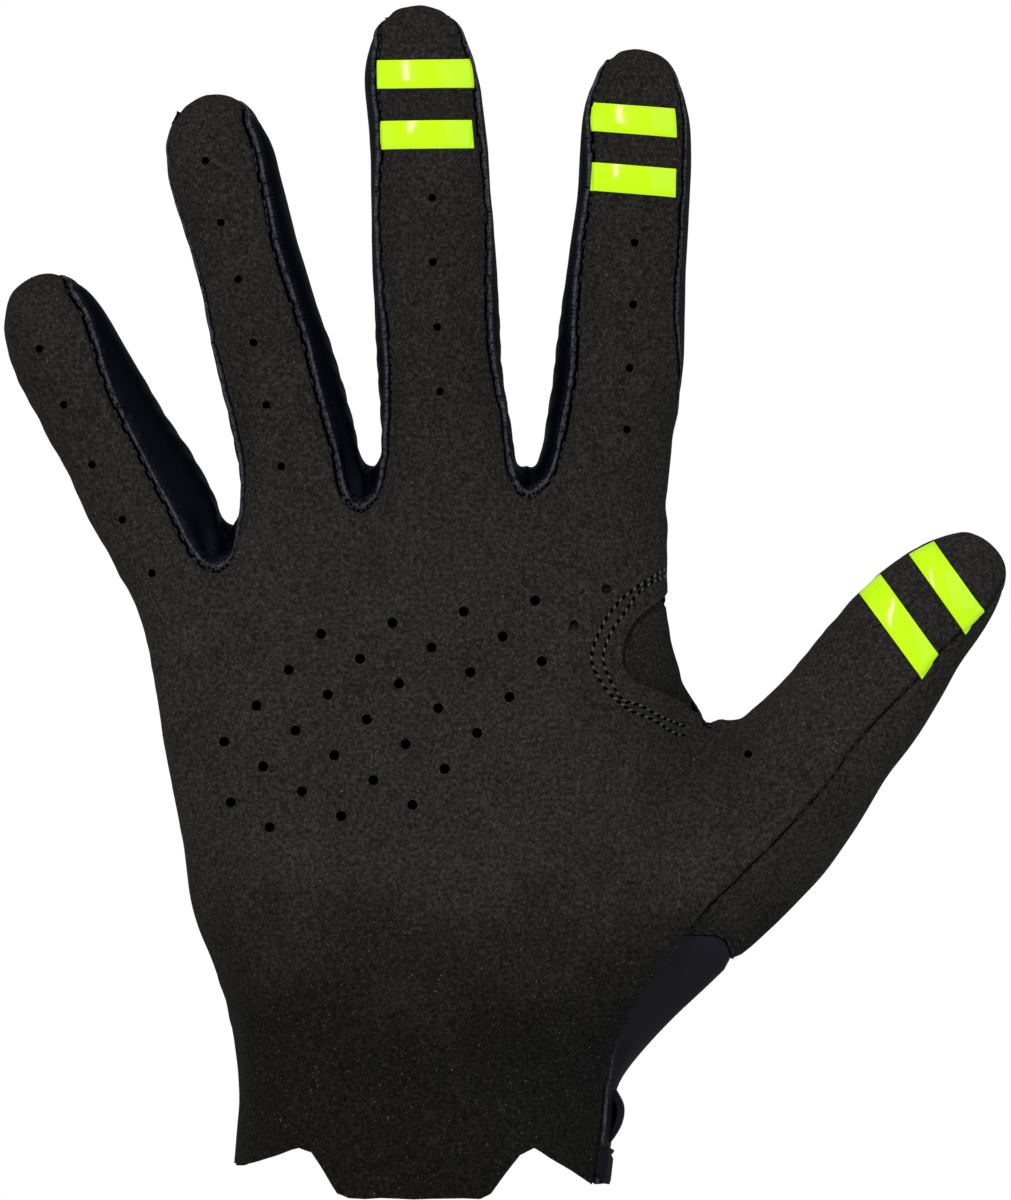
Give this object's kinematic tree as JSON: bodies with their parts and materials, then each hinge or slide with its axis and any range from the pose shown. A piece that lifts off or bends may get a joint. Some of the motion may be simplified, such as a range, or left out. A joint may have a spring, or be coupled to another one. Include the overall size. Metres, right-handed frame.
{
  "type": "full-finger cycling glove",
  "caption": "Right-hand full-finger cycling glove, filled as worn, with a perforated suede palm, stretch fourchettes and raised yellow-green silicone grip stripes.",
  "frame": {"origin": "centre of the wrist opening", "axes": "+Z towards the fingertips, -Y out of the palm, +X towards the thumb"},
  "size_m": [0.1759, 0.0423, 0.2099],
  "materials": {
    "suede": "matte",
    "stretch": "satin",
    "silicone": "gloss"
  },
  "bodies": {
    "root": {"palm_panel": "suede", "back_panel": "stretch", "thumb_back_panel": "suede", "thumb_crotch_insert": "suede", "fourchette_little_ring": "stretch", "fourchette_ring_middle": "stretch", "fourchette_middle_index": "stretch", "middle_stripe_upper": "silicone", "middle_stripe_lower": "silicone", "index_stripe_upper": "silicone", "index_stripe_lower": "silicone", "thumb_stripe_upper": "silicone", "thumb_stripe_lower": "silicone", "hem_tab": "stretch"}
  },
  "joints": []
}
